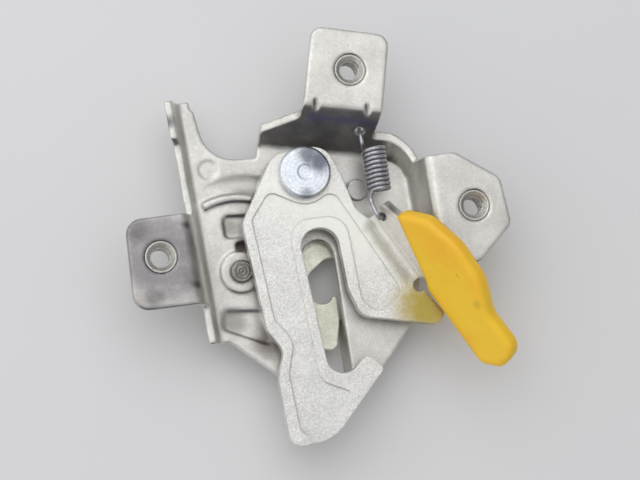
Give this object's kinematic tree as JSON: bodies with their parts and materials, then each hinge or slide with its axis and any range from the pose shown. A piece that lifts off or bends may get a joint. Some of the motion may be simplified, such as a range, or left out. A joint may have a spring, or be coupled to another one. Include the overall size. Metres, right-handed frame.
{
  "type": "bonnet latch",
  "caption": "Pressed steel bonnet latch: tray with nut tabs, striker claw and pawl behind, and a sprung safety lever with a yellow coated handle in front.",
  "frame": {"origin": "axis of the top bolt at the rear face of its tab, where the nut is seated", "axes": "+Z along the bolt axes towards the front, +Y away from the striker mouth, +X to the right"},
  "size_m": [0.1249, 0.1323, 0.0371],
  "materials": {
    "base_plate": "bright zinc plate, satin, lightly scuffed",
    "weld_nuts": "zinc plate, dull",
    "main_rivet": "bluish zinc plate, glossy",
    "claw_pin": "dull steel, rough at the formed end",
    "pawl_pin": "zinc plate, satin",
    "safety_lever": "bright zinc plate, grainy",
    "handle_coating": "soft dip coating with a low gloss",
    "lever_spring": "zinc plated spring wire",
    "claw": "yellowish zinc plate",
    "pawl": "zinc plate, satin",
    "claw_spring": "spring wire, oiled",
    "pawl_spring": "spring wire, oiled"
  },
  "bodies": {
    "base": {"base_plate": "base_plate", "weld_nuts": "weld_nuts", "main_rivet": "main_rivet", "claw_pin": "claw_pin", "pawl_pin": "pawl_pin", "lever_spring": "lever_spring", "claw_spring": "claw_spring", "pawl_spring": "pawl_spring"},
    "lever": {"safety_lever": "safety_lever", "handle_coating": "handle_coating"},
    "claw": {"claw": "claw"},
    "pawl": {"pawl": "pawl"}
  },
  "joints": [
    {"name": "lever_hinge", "type": "hinge", "parent": "base", "child": "lever", "pos_m": [-0.0188, -0.0306, -0.0067], "axis": [0, 0, 1], "range_deg": [-17, 0], "stiffness_Nm_per_rad": 0.4, "springref_deg": 28.65, "deforming": ["lever_spring"]},
    {"name": "pawl_hinge", "type": "hinge", "parent": "base", "child": "pawl", "pos_m": [-0.0007, -0.0372, -0.0176], "axis": [0, 0, 1], "range_deg": [-18, 0], "stiffness_Nm_per_rad": 0.3, "springref_deg": 28.65, "deforming": ["pawl_spring"]},
    {"name": "claw_hinge", "type": "hinge", "parent": "base", "child": "claw", "pos_m": [-0.0428, -0.059, -0.0176], "axis": [0, 0, 1], "range_deg": [-26, 0], "stiffness_Nm_per_rad": 0.05, "springref_deg": -25.78, "deforming": ["claw_spring"]}
  ],
  "couplings": [
    {"joint": "claw_hinge", "follows": "pawl_hinge", "ratio": 1.444}
  ]
}
